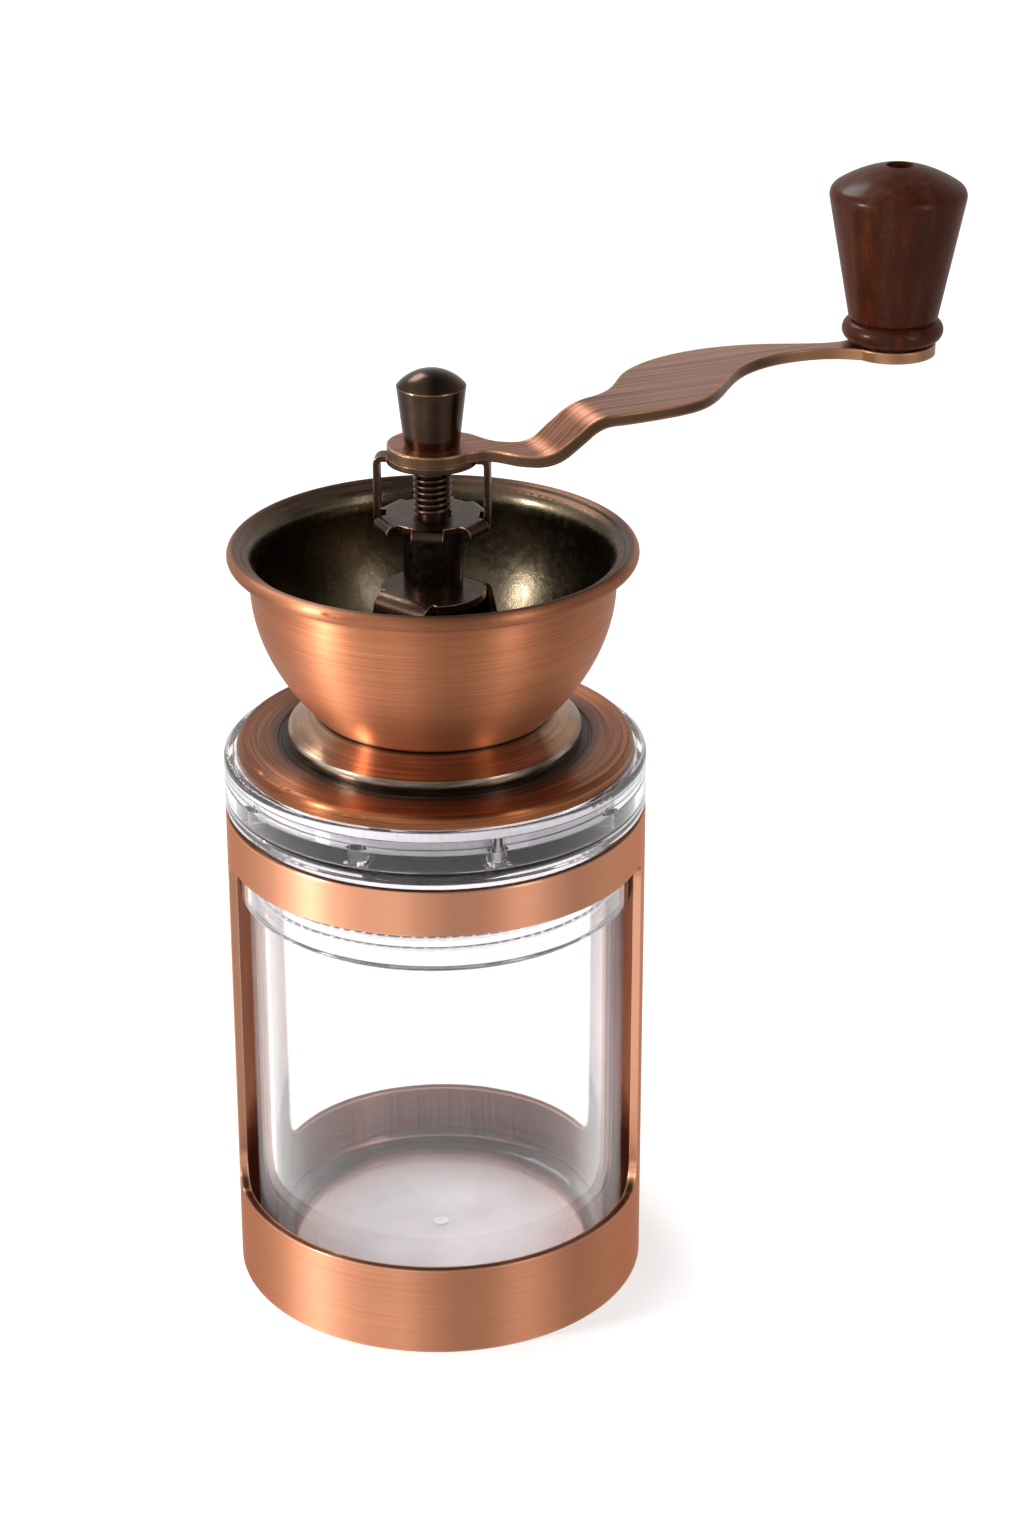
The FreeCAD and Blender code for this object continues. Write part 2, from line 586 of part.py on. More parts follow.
def hopper_bowl():
    outer = bowl_poles()
    inner = offset_poles(outer, SHEET)
    wall = turned([bezier(outer), line(outer[-1], inner[-1]), bezier(inner), line(inner[0], outer[0])])
    flare = [outer[-1], (BOWL_RADIUS - FLARE_TUCK, BOWL_TOP + RIM_LIFT / 2),
             (BOWL_RADIUS + FLARE_REACH, RIM_Z), (RIM_RADIUS, RIM_Z)]
    flare_inner = offset_poles(flare, SHEET)
    flare_inner[0] = inner[-1]
    lip = turned([bezier(flare), line(flare[-1], flare_inner[-1]), bezier(flare_inner),
                  line(flare_inner[0], flare[0])])
    rim = Part.makeTorus(RIM_RADIUS, RIM_TUBE, FreeCAD.Vector(0, 0, RIM_Z))
    floor = ring(BOWL_SEAT_RADIUS - SHEET / 2, THROAT_RADIUS, TURRET_TOP, BOWL_FLOOR)
    body = fused([wall, lip, rim, floor])
    hole = cylinder(BRIDGE_SCREW_RADIUS + HOLE_FIT, TURRET_TOP, BOWL_FLOOR, BRIDGE_SCREW_CIRCLE)
    for cutter in pattern(hole, BRIDGE_LEGS, BRIDGE_ANGLE):
        body = body.cut(cutter)
    return body


def bridge_bracket():
    middle = BRIDGE_TOP - BRIDGE_SHEET / 2
    foot = BOWL_FLOOR + BRIDGE_SHEET / 2
    path = [(0, middle), (BRIDGE_LEG_TOP, middle), (BRIDGE_LEG_FOOT, foot), (BRIDGE_FOOT_END, foot)]
    leg = bent_strip(path, BRIDGE_SHEET, BRIDGE_BEND, -BRIDGE_STRIP / 2, BRIDGE_STRIP / 2)
    flat = BRIDGE_LEG_TOP - BRIDGE_BEND
    disc = cylinder(BRIDGE_DISC, BRIDGE_TOP - BRIDGE_SHEET, BRIDGE_TOP)
    disc = disc.common(box(-flat, flat, -BRIDGE_DISC, BRIDGE_DISC, BRIDGE_TOP - BRIDGE_SHEET, BRIDGE_TOP))
    leg = leg.common(cylinder(BRIDGE_FOOT_END, BOWL_FLOOR, BRIDGE_TOP))
    body = fused([spun(disc, BRIDGE_ANGLE)] + pattern(leg, BRIDGE_LEGS, BRIDGE_ANGLE))
    body = body.cut(cylinder(BUSH_SPIGOT + HOLE_FIT / 2, BRIDGE_TOP - BRIDGE_SHEET, BRIDGE_TOP))
    hole = cylinder(BRIDGE_SCREW_RADIUS + HOLE_FIT, BOWL_FLOOR, BOWL_FLOOR + BRIDGE_SHEET,
                    BRIDGE_SCREW_CIRCLE)
    for cutter in pattern(hole, BRIDGE_LEGS, BRIDGE_ANGLE):
        body = body.cut(cutter)
    return body


def bridge_screws():
    seat = BOWL_FLOOR + BRIDGE_SHEET
    length = BRIDGE_SCREW_LENGTH + SHEET + BRIDGE_SHEET - HOLE_FIT
    one = screw(BRIDGE_SCREW_RADIUS, length, BRIDGE_SCREW_HEAD, SCREW_HEAD_HEIGHT, seat, BRIDGE_SCREW_CIRCLE)
    return Part.makeCompound(pattern(one, BRIDGE_LEGS, BRIDGE_ANGLE))


def spindle_bush():
    stake_top = BRIDGE_TOP - BRIDGE_SHEET
    body = fused([cylinder(BUSH_RADIUS, BRIDGE_TOP, BUSH_TOP),
                  cylinder(BUSH_SPIGOT, stake_top - BUSH_STAKE, BRIDGE_TOP),
                  cylinder(BUSH_SPIGOT + BUSH_STAKE / 2, stake_top - BUSH_STAKE, stake_top)])
    return body.cut(cylinder(SPINDLE_BORE, stake_top - BUSH_STAKE, BUSH_TOP))


def adjusting_nut():
    middle = STAR_Z + STAR_THICKNESS / 2
    path = [(STAR_RADIUS / 2, middle), (TAB_REACH - STAR_THICKNESS / 2, middle),
            (TAB_REACH - STAR_THICKNESS / 2, STAR_Z - TAB_DROP)]
    tab = bent_strip(path, STAR_THICKNESS, TAB_BEND, -TAB_WIDTH / 2, TAB_WIDTH / 2)
    disc = cylinder(STAR_RADIUS, STAR_Z, STAR_TOP)
    body = fused([disc] + pattern(tab, STAR_TABS, 180.0 / STAR_TABS + LOCK_ANGLE))
    return body.cut(cylinder(SPINDLE_BORE, STAR_Z, STAR_TOP))


def lock_spring():
    height = SPRING_LENGTH - 2 * SPRING_WIRE - 2 * RUN_FIT
    start = STAR_TOP + SPRING_WIRE + RUN_FIT
    helix = Part.makeHelix(height / SPRING_TURNS, height, SPRING_RADIUS)
    helix.translate(FreeCAD.Vector(0, 0, start))
    circle = Part.Circle(FreeCAD.Vector(SPRING_RADIUS, 0, start), FreeCAD.Vector(0, 1, 0), SPRING_WIRE)
    return Part.Wire(helix).makePipeShell([Part.Wire(circle.toShape())], True, True)


def spring_seat():
    return ring(SPRING_SEAT_RADIUS, SPINDLE_BORE, SPRING_TOP, CLIP_Z)


def lock_clip():
    middle = CLIP_Z + CLIP_SHEET / 2
    reach = PRONG_REACH - CLIP_SHEET / 2
    path = [(CLIP_RADIUS / 2, middle), (reach, middle), (reach, CLIP_Z - PRONG_DEPTH)]
    prong = bent_strip(path, CLIP_SHEET, PRONG_BEND, -PRONG_WIDTH / 2, PRONG_WIDTH / 2)
    body = fused([cylinder(CLIP_RADIUS, CLIP_Z, CRANK_Z)] + pattern(prong, 2))
    hole = double_d(SPINDLE_BORE, SPINDLE_FLAT + RUN_FIT, CLIP_Z, CRANK_Z)
    return spun(body.cut(hole), LOCK_ANGLE)


def spindle():
    lower = BURR_NUT_Z - SPINDLE_TAIL
    half = SPINDLE_SQUARE / 2
    shaft = cylinder(SPINDLE_RADIUS, SHELF_TOP, SPRING_TOP)
    top = double_d(SPINDLE_RADIUS, SPINDLE_FLAT, SPRING_TOP, SPINDLE_TOP)
    square = box(-half, half, -half, half, CONE_Z, SHELF_TOP)
    stud = cylinder(SPINDLE_STUD, lower, CONE_Z)
    return fused([shaft, spun(top, LOCK_ANGLE), square, stud])


def burr_washer():
    return ring(BURR_WASHER_RADIUS, SPINDLE_STUD + RUN_FIT, BURR_WASHER_Z, CONE_Z)


def burr_nut():
    corner = BURR_NUT_FLATS / math.sqrt(3)
    points = [FreeCAD.Vector(corner * math.cos(math.radians(60 * i)),
                             corner * math.sin(math.radians(60 * i)), BURR_NUT_Z) for i in range(6)]
    hexagon = Part.Face(Part.makePolygon(points + [points[0]]))
    body = hexagon.extrude(FreeCAD.Vector(0, 0, BURR_NUT_HEIGHT))
    return body.cut(cylinder(SPINDLE_STUD + RUN_FIT, BURR_NUT_Z, BURR_WASHER_Z))


def plan_point(share):
    return FreeCAD.Vector(share[0] * CRANK_LENGTH, share[1] * CRANK_LENGTH, 0)


def plan_spline(shares):
    curve = Part.BSplineCurve()
    curve.interpolate([plan_point(share) for share in shares])
    return curve.toShape()


def crank_plan():
    """The arm's outline seen from above, as a tall solid that the folded strip is cut from."""
    tall = CRANK_RISE + 2 * CRANK_THICKNESS
    edges = [plan_spline(CRANK_FAR_EDGE), plan_spline(CRANK_NEAR_EDGE)]
    for end, middle in ((0, (0, 0)), (-1, (1, 0))):
        for side in (CRANK_FAR_EDGE, CRANK_NEAR_EDGE):
            edges.append(Part.LineSegment(plan_point(middle), plan_point(side[end])).toShape())
    blade = Part.Face(Part.Wire(Part.__sortEdges__(edges))).extrude(FreeCAD.Vector(0, 0, tall))
    eye = cylinder(CRANK_EYE, 0, tall)
    end_eye = cylinder(CRANK_END_EYE, 0, tall, CRANK_LENGTH)
    plan = fused([blade, eye, end_eye])
    plan.translate(FreeCAD.Vector(0, 0, CRANK_Z - CRANK_THICKNESS / 2))
    return plan


def crank_arm():
    low = CRANK_Z + CRANK_THICKNESS / 2
    high = low + CRANK_RISE
    path = [(-2 * CRANK_EYE, low), (RAMP_START, low), (RAMP_END, high),
            (CRANK_LENGTH + 2 * CRANK_END_EYE, high)]
    reach = CRANK_LENGTH / 2
    folded = bent_strip(path, CRANK_THICKNESS, RAMP_BEND, -reach, reach)
    arm = spun(folded.common(crank_plan()), CRANK_ANGLE)
    hole = double_d(SPINDLE_BORE, SPINDLE_FLAT + RUN_FIT, CRANK_Z, CRANK_TOP)
    pin = cylinder(KNOB_PIN_RADIUS + RUN_FIT, ARM_Z, ARM_TOP, CRANK_LENGTH)
    return arm.cut(spun(hole, LOCK_ANGLE)).cut(spun(pin, CRANK_ANGLE)).removeSplitter()


def crown_nut():
    apex = CROWN_RIM_Z + CROWN_DOME
    ball = (CROWN_RADIUS ** 2 + CROWN_DOME ** 2) / (2 * CROWN_DOME)
    half = math.asin(CROWN_RADIUS / ball) / 2
    dome = (ball * math.sin(half), apex - ball * (1 - math.cos(half)))
    depth = SPINDLE_TOP + HOLE_FIT
    edges = chain([(0, apex), (0, depth), (SPINDLE_BORE, depth), (SPINDLE_BORE, CRANK_TOP),
                   (CROWN_FOOT_RADIUS, CRANK_TOP), (CROWN_RADIUS, CROWN_RIM_Z)])
    edges.append(arc((CROWN_RADIUS, CROWN_RIM_Z), dome, (0, apex)))
    return turned(edges)


def at_knob(shape):
    shape.translate(FreeCAD.Vector(CRANK_LENGTH, 0, 0))
    return spun(shape, CRANK_ANGLE)


def crank_knob():
    bore = KNOB_PIN_RADIUS + RUN_FIT
    neck = (KNOB_NECK_RADIUS, BEAD_TOP + KNOB_BEAD_HEIGHT / 8)
    shoulder = (KNOB_RADIUS, SHOULDER_Z)
    crease = (KNOB_RADIUS + KNOB_SHOULDER_SWELL, DOME_Z - KNOB_SHOULDER_INSET)
    dome_foot = (KNOB_RADIUS - KNOB_SHOULDER_INSET, DOME_Z)
    reach = KNOB_HOLE - dome_foot[0]
    dome = [(dome_foot[0] + reach * across, DOME_Z + KNOB_DOME_HEIGHT * up)
            for across, up in KNOB_DOME_SHARES]
    edges = chain([(bore, KNOB_SEAT), (bore, KNOB_Z), (KNOB_GROOVE_RADIUS, KNOB_Z)])
    edges.append(arc((KNOB_GROOVE_RADIUS, KNOB_Z), (KNOB_BEAD_RADIUS, KNOB_Z + KNOB_BEAD_HEIGHT / 2),
                     (KNOB_GROOVE_RADIUS, BEAD_TOP)))
    edges += chain([(KNOB_GROOVE_RADIUS, BEAD_TOP), neck, shoulder])
    edges.append(bezier([shoulder, crease, dome_foot]))
    edges.append(bezier(dome))
    edges += chain([dome[-1], (KNOB_HOLE, KNOB_SEAT), (bore, KNOB_SEAT)])
    return at_knob(turned(edges))


def knob_washer():
    return at_knob(ring(KNOB_WASHER_RADIUS, KNOB_PIN_RADIUS + RUN_FIT, ARM_TOP, ARM_TOP + KNOB_WASHER))


def knob_pin():
    seat = KNOB_SEAT + RUN_FIT
    body = fused([cylinder(KNOB_PIN_RADIUS, ARM_Z, seat),
                  cylinder(KNOB_PIN_HEAD, seat, seat + KNOB_PIN_HEAD_HEIGHT),
                  cylinder(RIVET_RADIUS, ARM_Z - RIVET_HEIGHT, ARM_Z)])
    rivet = [e for e in body.Edges if abs(e.BoundBox.ZMax - ARM_Z + RIVET_HEIGHT) < 1e-6]
    return at_knob(body.makeFillet(RIVET_HEIGHT / 2, rivet))


PIECES = (
    jar_sleeve, receiver_jar, clear_collar, cover_plate, hopper_foot, hopper_bowl, burr_carrier,
    carrier_screws, ring_burr, ring_burr_screws, bridge_bracket, bridge_screws, spindle_bush,
    adjusting_nut, lock_spring, spring_seat, lock_clip, spindle, cone_burr, burr_washer, burr_nut,
    crank_arm, crown_nut, knob_pin, knob_washer, crank_knob,
)


os.makedirs("parts", exist_ok=True)
for piece in PIECES:
    shape = piece()
    print(piece.__name__, shape.isValid(), len(shape.Solids), round(shape.Volume, 1))
    shape.exportStep("parts/" + piece.__name__ + ".step")
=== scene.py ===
import math

import bmesh
import bpy
from mathutils import Matrix, Vector

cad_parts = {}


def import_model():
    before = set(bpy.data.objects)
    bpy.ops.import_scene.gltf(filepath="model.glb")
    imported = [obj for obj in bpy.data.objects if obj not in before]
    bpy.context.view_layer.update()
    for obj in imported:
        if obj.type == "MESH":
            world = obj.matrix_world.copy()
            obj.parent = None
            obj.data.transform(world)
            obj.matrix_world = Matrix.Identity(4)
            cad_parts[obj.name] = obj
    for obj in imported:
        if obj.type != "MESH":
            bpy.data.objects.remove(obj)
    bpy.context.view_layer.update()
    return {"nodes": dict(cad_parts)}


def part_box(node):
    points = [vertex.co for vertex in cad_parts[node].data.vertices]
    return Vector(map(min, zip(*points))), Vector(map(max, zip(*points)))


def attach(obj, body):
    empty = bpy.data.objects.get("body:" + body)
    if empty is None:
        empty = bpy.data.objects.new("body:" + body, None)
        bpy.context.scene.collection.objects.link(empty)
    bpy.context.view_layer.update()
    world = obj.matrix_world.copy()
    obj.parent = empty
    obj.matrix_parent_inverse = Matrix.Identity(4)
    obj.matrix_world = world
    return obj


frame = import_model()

MM = 0.001


def mm(*lengths):
    return tuple(length * MM for length in lengths)


# The photograph's frame and its fitted camera
IMAGE_HEIGHT = 1537
FOCAL_PIXELS = 3513.8
CAMERA_PLACE = (0.0, -0.684, 0.4291)
CAMERA_PITCH = 24.46
CAMERA_YAW = 1.36
CAMERA_ROLL = -0.09
SENSOR = 36.0
NEAREST = 0.01

# Places on the object. A pair gives where a change of colour starts and where it is complete.
CRANK_TURN = 22.0
CRANK_NEAR = mm(52.0, 30.0)
CRANK_EYE = mm(70.0, 88.0)
SLEEVE_PALING = mm(30.0, 100.0)
FOOT_RADIUS = 31.4 * MM
FOOT_LIP = mm(129.6, 128.8)
# Where the painted shade of the seat gap between the foot and the bowl lies
FOOT_SEAM = mm(132.2, 133.0)
FOOT_SHADE = (FOOT_RADIUS + 1.0 * MM, FOOT_RADIUS + 6.0 * MM)
BOWL_SEAM = mm(133.8, 133.1)
BOWL_LOW = mm(146.0, 136.0)
RIM_UPPER = mm(165.5, 167.2)
RIM_TOP = mm(164.0, 165.0)
RIM_DEPTH = 4.0 * MM
RIM_TURN = -0.6
BOWL_TURN = 0.1
BOWL_FLOOR_DEPTH = 3.0 * MM
BOWL_FLOOR_SLOPE = 0.5
# The pale band of painted light on the carrier's flange, for light coming through the collar's clear
# shelf
FLANGE_LIT_HEIGHT = mm(118.25, 118.4)
FLANGE_LIT_RADIUS = mm(37.5, 38.0)

# The jar's moulded floor, and the painted sheen of milky haze on its left and right sides
JAR_FLOOR = mm(6.5, 6.2)
JAR_FLOOR_EDGE = mm(38.5, 37.0)
JAR_FROST_EDGE = mm(34.5, 28.0)
# Where the painted copper tint at the floor's edge starts and is complete
JAR_FLOOR_COPPER_TINT = mm(18.0, 34.0)
JAR_FLOOR_GATE = mm(6.0, 1.0)
SIDE_SHEEN_FROM = (0.86, 0.97)
SIDE_SHEEN_HAZE = 0.12

# The thread on the jar's neck
NECK_RADIUS = 38.9 * MM
THREAD_LOW = 93.4 * MM
THREAD_PITCH = 2.4 * MM
THREAD_DEPTH = 0.5 * MM
THREAD_ROOT = 0.5 * MM
THREAD_CREST = 0.15 * MM
THREAD_TURNS = 2
THREAD_STEPS = 96
THREAD_RUN_IN = 12
THREAD_LEAST = 0.05

# The seal in the collar's cavity, in lengths between the posts
POST_COUNT = 9
POST_ANGLE = -72.8
POST_STEP = 360.0 / POST_COUNT
POST_MARGIN = 4.0
SEAL_STEPS = 16
SEAL_INNER = 37.2 * MM
SEAL_OUTER = 42.7 * MM
SEAL_LOW = 114.42 * MM
SEAL_TOP = 115.0 * MM
SHARP_ANGLE = 40.0

# Copper
SLEEVE_DEEP = (0.72, 0.285, 0.155)
SLEEVE_BRIGHT = (0.90, 0.39, 0.225)
SLEEVE_CLOUD = (0.70, 0.285, 0.16)
SLEEVE_PALE = (1.0, 0.455, 0.275)
SLEEVE_JAMB = (0.97, 0.46, 0.28)
# Painted shade on the sleeve's level sills and top edge
SLEEVE_SILL_SHADE = (0.11, 0.048, 0.03)
LINING_DARK = (0.15, 0.038, 0.02)
LINING_LIGHT = (0.32, 0.095, 0.052)
SLEEVE_WORN = (0.95, 0.52, 0.33)
SLEEVE_GLANCE = (0.85, 0.6, 0.5, 1.0)
BOWL_DEEP = (0.63, 0.225, 0.105)
BOWL_MIDDLE = (0.72, 0.275, 0.135)
BOWL_BRIGHT = (0.80, 0.325, 0.17)
BOWL_STREAK = (0.42, 0.145, 0.07)
# Painted shade for the bowl's lower part
BOWL_SHADED = (0.40, 0.14, 0.065)
RIM_COPPER = (0.32, 0.125, 0.065)
RIM_BROWN = (0.10, 0.06, 0.042)
# Painted shade in the seat gap between the bowl and the foot
SEAM_SHADE = (0.03, 0.015, 0.01)
PLATE_DEEP = (0.22, 0.064, 0.022)
PLATE_MIDDLE = (0.40, 0.135, 0.055)
PLATE_BRIGHT = (0.60, 0.24, 0.11)
PLATE_STREAK = (0.12, 0.036, 0.015)
PLATE_SHADE = (0.03, 0.024, 0.02)
FOOT_DEEP = (0.36, 0.195, 0.115)
FOOT_BRIGHT = (0.64, 0.37, 0.225)
FOOT_STREAK = (0.29, 0.175, 0.10)
# The foot's lip: painted dark reflections, and pale worn brass with painted glints
LIP_DARK_REFLECTION = (0.16, 0.13, 0.10)
LIP_WEAR_AND_GLINT = (0.62, 0.52, 0.41)
CRANK_DEEP = (0.17, 0.082, 0.058)
CRANK_MIDDLE = (0.42, 0.21, 0.145)
CRANK_BRIGHT = (0.60, 0.325, 0.23)
CRANK_CLOUD = (0.36, 0.155, 0.09)
CRANK_NEAR_DARK = (0.15, 0.058, 0.03)
CRANK_NEAR_LIGHT = (0.42, 0.165, 0.08)
CRANK_SIDE = (0.13, 0.075, 0.048)
CRANK_EYE_SIDE = (0.46, 0.235, 0.125)
CRANK_WORN = (0.80, 0.36, 0.17)

# Bronze, brass and steel
INSIDE_DARK = (0.062, 0.047, 0.03)
INSIDE_LIGHT = (0.155, 0.122, 0.08)
INSIDE_SPECKLE = (0.42, 0.35, 0.24)
MECHANISM_BRONZE = (0.095, 0.056, 0.038)
NUT_BRONZE = (0.085, 0.05, 0.034)
BRONZE_WORN = (0.66, 0.34, 0.20)
PIN_BRASS = (0.50, 0.36, 0.17)
PIN_WORN = (0.80, 0.62, 0.35)
FASTENER_STEEL = (0.42, 0.40, 0.37)
BURR_STEEL = (0.36, 0.36, 0.37)
BRONZE_EDGE = 0.4 * MM
PIN_EDGE = 0.3 * MM
NUT_DULLNESS = 0.26

# Acrylic, casting and wood
ACRYLIC_IOR = 1.49
ACRYLIC_CLEAR = (0.975, 0.962, 0.97)
ACRYLIC_SCRATCHED = (0.94, 0.93, 0.95)
SCRATCH_HAZE = 0.05
SCRATCH_ROUGHNESS = 0.2
FROST_ROUGHNESS = 0.3
JAR_MILKINESS = 0.014
COLLAR_MILKINESS = 0.005
THREAD_MILKINESS = 0.03
MILK_DARK = (0.46, 0.425, 0.435)
MILK_LIGHT = (0.66, 0.625, 0.635)
# Painted reflection: the copper ledge seen through the floor's edge
MILK_COPPER_TINT = (0.50, 0.37, 0.34)
MILK_GATE = (0.35, 0.33, 0.34)
CASTING_DARK = (0.010, 0.009, 0.009)
CASTING_LIGHT = (0.026, 0.023, 0.022)
# Painted light on the carrier's flange
FLANGE_LIT_DIM = (0.60, 0.58, 0.62)
FLANGE_LIT_BRIGHT = (0.72, 0.70, 0.74)
WOOD_DARK = (0.03, 0.0062, 0.0022)
WOOD_MIDDLE = (0.088, 0.019, 0.006)
WOOD_LIGHT = (0.16, 0.042, 0.012)
WOOD_BLOTCH = (0.05, 0.013, 0.006)
WOOD_PORE = (0.26, 0.09, 0.03)

# Spun brushing, and the depth of fine marks
SPUN = {"Anisotropic": 0.93, "Anisotropic_Rotation": 0.25}
WORN_SPUN = {"Anisotropic": 0.6, "Anisotropic_Rotation": 0.25}
FINE = 0.1 * MM
TINY = 1e-5

# The room that the metal reflects: direction in degrees from the front towards the right, and brightness
ROOM = (
    (-180, 0.32), (-127, 0.3), (-101, 0.4), (-86, 0.72), (-77, 0.92), (-69, 0.7),
    (-57, 0.52), (-40, 0.41), (-23, 0.46), (-7, 0.3), (10, 0.22), (26, 0.23),
    (43, 0.35), (60, 0.32), (80, 0.19), (110, 0.25), (180, 0.32),
)
ROOM_LEVEL = 2.0
CEILING = 0.12
CEILING_LEFT = 0.8
CEILING_RISE = (0.45, 0.95)
CEILING_TURN = (0.02, -0.25)
DIFFUSE_LIGHT = 0.3
GLASS_FRONT = 0.15
GLASS_TURN = (-0.5, 0.3)
BEHIND_GLASS = 0.75
WHITE = (1.0, 1.0, 1.0, 1.0)

# The floor's colour and glow, and the shadow close to the foot
FLOOR_SIZE = 6.0
FLOOR_TONE = 0.55
FLOOR_ROUGHNESS = 0.9
FLOOR_GLOW_NEAR = 0.8
FLOOR_GLOW_FAR = 0.84
FLOOR_GLOW_REACH = (0.2, 1.2)
FLOOR_GLOW_IN_GLASS = 0.86
CONTACT_PLACE = (0.004, -0.001, 0.0)
CONTACT_GLOW = 0.8
CONTACT_REACH = mm(43.0, 60.0)

# Each lamp's name, place, aim, size and power
SOFTBOXES = (
    ("left_softbox", (-0.80, -0.30, 0.48), (0.0, 0.0, 0.14), (0.15, 0.19), 5.0),
    ("top_softbox", (-0.33, 0.62, 0.88), (0.0, 0.0, 0.13), (0.35, 0.35), 2.8),
    ("right_softbox", (0.60, -0.55, 0.5), (0.0, 0.0, 0.12), (0.2, 0.5), 0.9),
)


class Graph:
    """Builds the nodes of a material or of the world."""

    def __init__(self, tree):
        self.tree = tree

    def node(self, kind, **settings):
        made = self.tree.nodes.new("ShaderNode" + kind)
        for name, value in settings.items():
            setattr(made, name, value)
        return made

    def feed(self, socket, value):
        if isinstance(value, bpy.types.NodeSocket):
            self.tree.links.new(value, socket)
        else:
            socket.default_value = value

    def math(self, operation, a, b=0.0):
        made = self.node("Math", operation=operation)
        self.feed(made.inputs[0], a)
        self.feed(made.inputs[1], b)
        return made.outputs[0]

    def times(self, a, b):
        return self.math("MULTIPLY", a, b)

    def most(self, a, b):
        return self.math("MAXIMUM", a, b)

    def split(self, vector):
        made = self.node("SeparateXYZ")
        self.feed(made.inputs[0], vector)
        return made.outputs

    def join(self, x, y, z):
        made = self.node("CombineXYZ")
        for socket, value in zip(made.inputs, (x, y, z)):
            self.feed(socket, value)
        return made.outputs[0]

    def ramp(self, factor, *stops, blend="LINEAR"):
        """A colour for each value of the factor, from stops of position and colour."""
        made = self.node("ValToRGB")
        self.feed(made.inputs[0], factor)
        made.color_ramp.interpolation = blend
        elements = made.color_ramp.elements
        while len(elements) < len(stops):
            elements.new(0.5)
        for element, (position, colour) in zip(elements, stops):
            element.position = position
            element.color = tuple(colour) + (1.0,)
        return made.outputs["Color"]

    def span(self, value, low, high, start=0.0, end=1.0, blend="LINEAR"):
        """Goes from start to end as the value goes from low to high, and stays level beyond them."""
        made = self.node("MapRange", interpolation_type=blend)
        self.feed(made.inputs["Value"], value)
        for name, number in (("From Min", low), ("From Max", high), ("To Min", start), ("To Max", end)):
            made.inputs[name].default_value = number
        return made.outputs["Result"]

    def choose(self, switch, off, on):
        """The value on where the switch is 1, and otherwise off."""
        made = self.node("Mix")
        self.feed(made.inputs["Factor"], switch)
        self.feed(made.inputs[2], off)
        self.feed(made.inputs[3], on)
        return made.outputs[0]


class Surface(Graph):
    """Builds one material's nodes."""

    def __init__(self, name):
        self.material = bpy.data.materials.new(name)
        self.material.use_nodes = True
        super().__init__(self.material.node_tree)
        self.shader = self.tree.nodes["Principled BSDF"]

    def set(self, **inputs):
        """Feeds the shader's sockets, named with underscores for spaces."""
        for name, value in inputs.items():
            self.feed(self.shader.inputs[name.replace("_", " ")], value)

    def place(self):
        return self.node("TexCoord").outputs["Object"]

    def height(self):
        return self.split(self.place())[2]

    def radius(self):
        """The distance from the mill's axis."""
        x, y, z = self.split(self.place())
        return self.math("SQRT", self.math("ADD", self.times(x, x), self.times(y, y)))

    def spun(self, around, across):
        """Coordinates that run slowly round the axis and fast up and out, for spun brushing."""
        x, y, z = self.split(self.place())
        r = self.most(self.radius(), TINY)
        fast = self.times(self.math("ADD", r, z), across)
        turn_x = self.times(self.math("DIVIDE", x, r), around)
        turn_y = self.times(self.math("DIVIDE", y, r), around)
        return self.join(turn_x, turn_y, fast)

    def straight(self, turn, along, across):
        """Coordinates that run slowly along one direction and fast across it."""
        made = self.node("Mapping", vector_type="TEXTURE")
        self.feed(made.inputs["Vector"], self.place())
        made.inputs["Rotation"].default_value = (0, 0, math.radians(turn))
        return self.stretched(made.outputs[0], along, across, 4.0 * along)

    def stretched(self, vector, *scales):
        """The vector with each of its three shares scaled by itself."""
        shares = zip(self.split(vector), scales)
        return self.join(*[self.times(share, scale) for share, scale in shares])

    def noise(self, vector, scale, detail=3.0, roughness=0.55):
        made = self.node("TexNoise")
        self.feed(made.inputs["Vector"], vector)
        made.inputs["Scale"].default_value = scale
        made.inputs["Detail"].default_value = detail
        made.inputs["Roughness"].default_value = roughness
        return made.outputs["Fac"]

    def brushing(self, around, across, detail):
        """Streaks that run round the axis."""
        return self.noise(self.spun(around, across), 1.0, detail)

    def mix(self, factor, a, b):
        """The colour a where the factor is 0, and b where it is 1."""
        made = self.node("Mix", data_type="RGBA")
        self.feed(made.inputs["Factor"], factor)
        for socket, value in ((made.inputs[6], a), (made.inputs[7], b)):
            if isinstance(value, tuple):
                value = value + (1.0,)
            self.feed(socket, value)
        return made.outputs[2]

    def rounded(self, reach):
        """The surface's normal with its sharp edges rounded."""
        soft = self.node("Bevel", samples=4)
        soft.inputs["Radius"].default_value = reach
        return soft.outputs[0]

    def bump(self, height, strength, distance, edge=None):
        """Fine relief, with sharp edges rounded where an edge's reach is given."""
        made = self.node("Bump")
        made.inputs["Strength"].default_value = strength
        made.inputs["Distance"].default_value = distance
        self.feed(made.inputs["Height"], height)
        if edge:
            self.feed(made.inputs["Normal"], self.rounded(edge))
        self.feed(self.shader.inputs["Normal"], made.outputs["Normal"])

    def normal(self):
        return self.node("NewGeometry").outputs["Normal"]

    def outward(self):
        """How far the surface faces away from the mill's axis: 1 outwards, -1 inwards."""
        x, y, z = self.split(self.place())
        nx, ny, nz = self.split(self.normal())
        along = self.math("ADD", self.times(x, nx), self.times(y, ny))
        return self.math("DIVIDE", along, self.most(self.radius(), TINY))

    def worn_edges(self, reach):
        """A mask that is bright along sharp edges."""
        dot = self.node("VectorMath", operation="DOT_PRODUCT")
        self.feed(dot.inputs[0], self.rounded(reach))
        self.feed(dot.inputs[1], self.normal())
        return self.span(dot.outputs["Value"], 0.995, 0.9)


